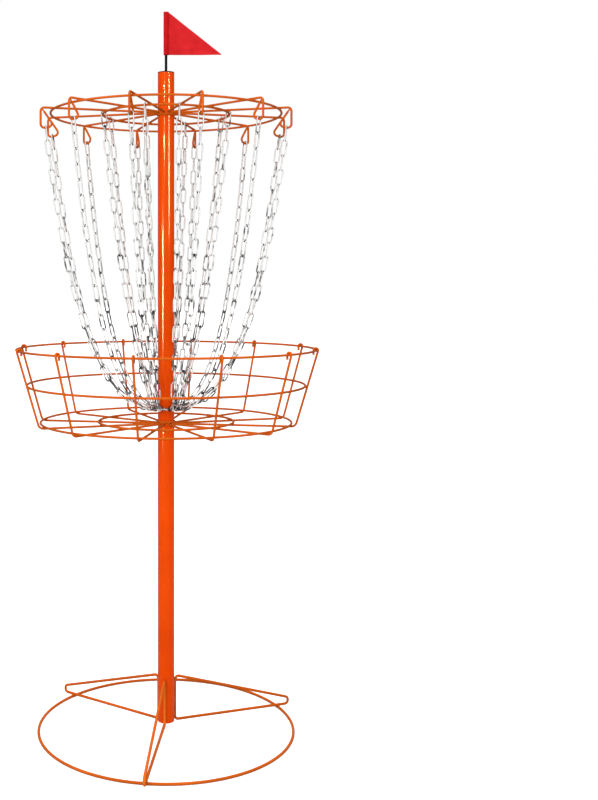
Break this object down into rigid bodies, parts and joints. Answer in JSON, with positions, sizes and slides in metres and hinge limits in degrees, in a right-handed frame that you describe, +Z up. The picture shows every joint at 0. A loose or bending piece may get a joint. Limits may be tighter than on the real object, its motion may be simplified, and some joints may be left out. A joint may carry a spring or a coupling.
{
  "type": "disc golf basket",
  "caption": "Portable disc golf basket: ring base, sectional pole, wire catching tray, rack of hanging chains gathered on a small ring, and a pennant on a rod.",
  "frame": {"origin": "centre of the base ring, on the ground", "axes": "+Z up along the pole; -Y is the front, from which the flag points to +X"},
  "size_m": [0.5419, 0.542, 1.295],
  "materials": {
    "orange_powder_coat": "gloss powder coat on steel tube and wire",
    "zinc_plated_steel": "bright zinc plating",
    "bare_steel": "bare drawn steel",
    "black_plastic": "moulded",
    "black_rod": "satin glass-fibre rod",
    "flag_cloth": "woven polyester"
  },
  "bodies": {
    "base": {"base_ring": "orange_powder_coat", "base_leg_front": "orange_powder_coat", "base_leg_left": "orange_powder_coat", "base_leg_right": "orange_powder_coat", "base_socket": "orange_powder_coat"},
    "lower_pole": {"pole_lower": "orange_powder_coat", "spigot_base": "bare_steel", "spigot_tray": "bare_steel"},
    "tray": {"tray_bottom_ring": "orange_powder_coat", "tray_floor_ring": "orange_powder_coat", "tray_hub_ring": "orange_powder_coat", "tray_middle_ring": "orange_powder_coat", "tray_rib_01": "orange_powder_coat", "tray_rib_02": "orange_powder_coat", "tray_rib_03": "orange_powder_coat", "tray_rib_04": "orange_powder_coat", "tray_rib_05": "orange_powder_coat", "tray_rib_06": "orange_powder_coat", "tray_rib_07": "orange_powder_coat", "tray_rib_08": "orange_powder_coat", "tray_rib_09": "orange_powder_coat", "tray_rib_10": "orange_powder_coat", "tray_rib_11": "orange_powder_coat", "tray_rib_12": "orange_powder_coat", "tray_rim_ring": "orange_powder_coat"},
    "middle_pole": {"pole_middle": "orange_powder_coat", "spigot_rack": "bare_steel"},
    "rack": {"rack_hub_ring": "orange_powder_coat", "rack_inner_ring": "orange_powder_coat", "rack_outer_ring": "orange_powder_coat", "rack_spokes": "orange_powder_coat"},
    "top_pole": {"pole_top": "orange_powder_coat", "pole_cap": "black_plastic"},
    "flag_rod": {"flag_rod": "black_rod"},
    "flag": {"flag": "flag_cloth"},
    "collector": {"chain_collector": "zinc_plated_steel"},
    "chain_inner_01": {"chain_inner_01": "zinc_plated_steel"},
    "chain_inner_02": {"chain_inner_02": "zinc_plated_steel"},
    "chain_inner_03": {"chain_inner_03": "zinc_plated_steel"},
    "chain_inner_04": {"chain_inner_04": "zinc_plated_steel"},
    "chain_inner_05": {"chain_inner_05": "zinc_plated_steel"},
    "chain_inner_06": {"chain_inner_06": "zinc_plated_steel"},
    "chain_inner_07": {"chain_inner_07": "zinc_plated_steel"},
    "chain_inner_08": {"chain_inner_08": "zinc_plated_steel"},
    "chain_outer_01": {"chain_outer_01": "zinc_plated_steel"},
    "chain_outer_02": {"chain_outer_02": "zinc_plated_steel"},
    "chain_outer_03": {"chain_outer_03": "zinc_plated_steel"},
    "chain_outer_04": {"chain_outer_04": "zinc_plated_steel"},
    "chain_outer_05": {"chain_outer_05": "zinc_plated_steel"},
    "chain_outer_06": {"chain_outer_06": "zinc_plated_steel"},
    "chain_outer_07": {"chain_outer_07": "zinc_plated_steel"},
    "chain_outer_08": {"chain_outer_08": "zinc_plated_steel"},
    "chain_outer_09": {"chain_outer_09": "zinc_plated_steel"},
    "chain_outer_10": {"chain_outer_10": "zinc_plated_steel"},
    "chain_outer_11": {"chain_outer_11": "zinc_plated_steel"},
    "chain_outer_12": {"chain_outer_12": "zinc_plated_steel"}
  },
  "joints": [
    {"name": "lower_pole_lift", "type": "slide", "parent": "base", "child": "lower_pole", "axis": [0, 0, 1], "range_m": [0, 0.045]},
    {"name": "tray_lift", "type": "slide", "parent": "lower_pole", "child": "tray", "axis": [0, 0, 1], "range_m": [0, 0.027]},
    {"name": "middle_pole_lift", "type": "slide", "parent": "tray", "child": "middle_pole", "axis": [0, 0, 1], "range_m": [0, 0.027]},
    {"name": "rack_lift", "type": "slide", "parent": "middle_pole", "child": "rack", "axis": [0, 0, 1], "range_m": [0, 0.02]},
    {"name": "top_pole_lift", "type": "slide", "parent": "rack", "child": "top_pole", "axis": [0, 0, 1], "range_m": [0, 0.02]},
    {"name": "flag_rod_lift", "type": "slide", "parent": "top_pole", "child": "flag_rod", "axis": [0, 0, 1], "range_m": [0, 0.022]},
    {"name": "flag_turn", "type": "hinge", "parent": "flag_rod", "child": "flag", "pos_m": [0, 0, 1.217], "axis": [0, 0, 1], "continuous": true},
    {"name": "collector_turn", "type": "hinge", "parent": "rack", "child": "collector", "pos_m": [0, 0, 0.578], "axis": [0, 0, 1], "continuous": true},
    {"name": "chain_inner_01_swing", "type": "hinge", "parent": "rack", "child": "chain_inner_01", "pos_m": [-0.03617, -0.10811, 1.1085], "axis": [0.0436, 0.163, -0.9857], "range_deg": [-9, 9]},
    {"name": "chain_inner_02_swing", "type": "hinge", "parent": "rack", "child": "chain_inner_02", "pos_m": [0.02273, -0.11171, 1.1085], "axis": [-0.0186, 0.1697, -0.9853], "range_deg": [-9, 9]},
    {"name": "chain_inner_03_swing", "type": "hinge", "parent": "rack", "child": "chain_inner_03", "pos_m": [0.11191, -0.02175, 1.1085], "axis": [-0.1636, 0.0359, -0.9859], "range_deg": [-9, 9]},
    {"name": "chain_inner_04_swing", "type": "hinge", "parent": "rack", "child": "chain_inner_04", "pos_m": [0.10246, 0.04997, 1.1085], "axis": [-0.1514, -0.0712, -0.9859], "range_deg": [-9, 9]},
    {"name": "chain_inner_05_swing", "type": "hinge", "parent": "rack", "child": "chain_inner_05", "pos_m": [0.03712, 0.10779, 1.1085], "axis": [-0.0493, -0.1603, -0.9858], "range_deg": [-9, 9]},
    {"name": "chain_inner_06_swing", "type": "hinge", "parent": "rack", "child": "chain_inner_06", "pos_m": [-0.03712, 0.10779, 1.1085], "axis": [0.0493, -0.1603, -0.9858], "range_deg": [-9, 9]},
    {"name": "chain_inner_07_swing", "type": "hinge", "parent": "rack", "child": "chain_inner_07", "pos_m": [-0.10246, 0.04997, 1.1085], "axis": [0.1514, -0.0712, -0.9859], "range_deg": [-9, 9]},
    {"name": "chain_inner_08_swing", "type": "hinge", "parent": "rack", "child": "chain_inner_08", "pos_m": [-0.11191, -0.02175, 1.1085], "axis": [0.1636, 0.0359, -0.9859], "range_deg": [-9, 9]},
    {"name": "chain_outer_01_swing", "type": "hinge", "parent": "rack", "child": "chain_outer_01", "pos_m": [0.05668, -0.21154, 1.07737], "axis": [-0.0945, 0.3512, -0.9315], "range_deg": [-9, 9]},
    {"name": "chain_outer_02_swing", "type": "hinge", "parent": "rack", "child": "chain_outer_02", "pos_m": [0.15486, -0.15486, 1.07737], "axis": [-0.2549, 0.2597, -0.9315], "range_deg": [-9, 9]},
    {"name": "chain_outer_03_swing", "type": "hinge", "parent": "rack", "child": "chain_outer_03", "pos_m": [0.21154, -0.05668, 1.07737], "axis": [-0.3534, 0.0881, -0.9313], "range_deg": [-9, 9]},
    {"name": "chain_outer_04_swing", "type": "hinge", "parent": "rack", "child": "chain_outer_04", "pos_m": [0.21154, 0.05668, 1.07737], "axis": [-0.3507, -0.0967, -0.9315], "range_deg": [-9, 9]},
    {"name": "chain_outer_05_swing", "type": "hinge", "parent": "rack", "child": "chain_outer_05", "pos_m": [0.15486, 0.15486, 1.07737], "axis": [-0.258, -0.2564, -0.9315], "range_deg": [-9, 9]},
    {"name": "chain_outer_06_swing", "type": "hinge", "parent": "rack", "child": "chain_outer_06", "pos_m": [0.05668, 0.21154, 1.07737], "axis": [-0.0989, -0.3503, -0.9314], "range_deg": [-9, 9]},
    {"name": "chain_outer_07_swing", "type": "hinge", "parent": "rack", "child": "chain_outer_07", "pos_m": [-0.05668, 0.21154, 1.07737], "axis": [0.0989, -0.3503, -0.9314], "range_deg": [-9, 9]},
    {"name": "chain_outer_08_swing", "type": "hinge", "parent": "rack", "child": "chain_outer_08", "pos_m": [-0.15486, 0.15486, 1.07737], "axis": [0.258, -0.2564, -0.9315], "range_deg": [-9, 9]},
    {"name": "chain_outer_09_swing", "type": "hinge", "parent": "rack", "child": "chain_outer_09", "pos_m": [-0.21154, 0.05668, 1.07737], "axis": [0.3507, -0.0967, -0.9315], "range_deg": [-9, 9]},
    {"name": "chain_outer_10_swing", "type": "hinge", "parent": "rack", "child": "chain_outer_10", "pos_m": [-0.21154, -0.05668, 1.07737], "axis": [0.3534, 0.0881, -0.9313], "range_deg": [-9, 9]},
    {"name": "chain_outer_11_swing", "type": "hinge", "parent": "rack", "child": "chain_outer_11", "pos_m": [-0.15486, -0.15486, 1.07737], "axis": [0.2549, 0.2597, -0.9315], "range_deg": [-9, 9]},
    {"name": "chain_outer_12_swing", "type": "hinge", "parent": "rack", "child": "chain_outer_12", "pos_m": [-0.05668, -0.21154, 1.07737], "axis": [0.0945, 0.3512, -0.9315], "range_deg": [-9, 9]}
  ]
}
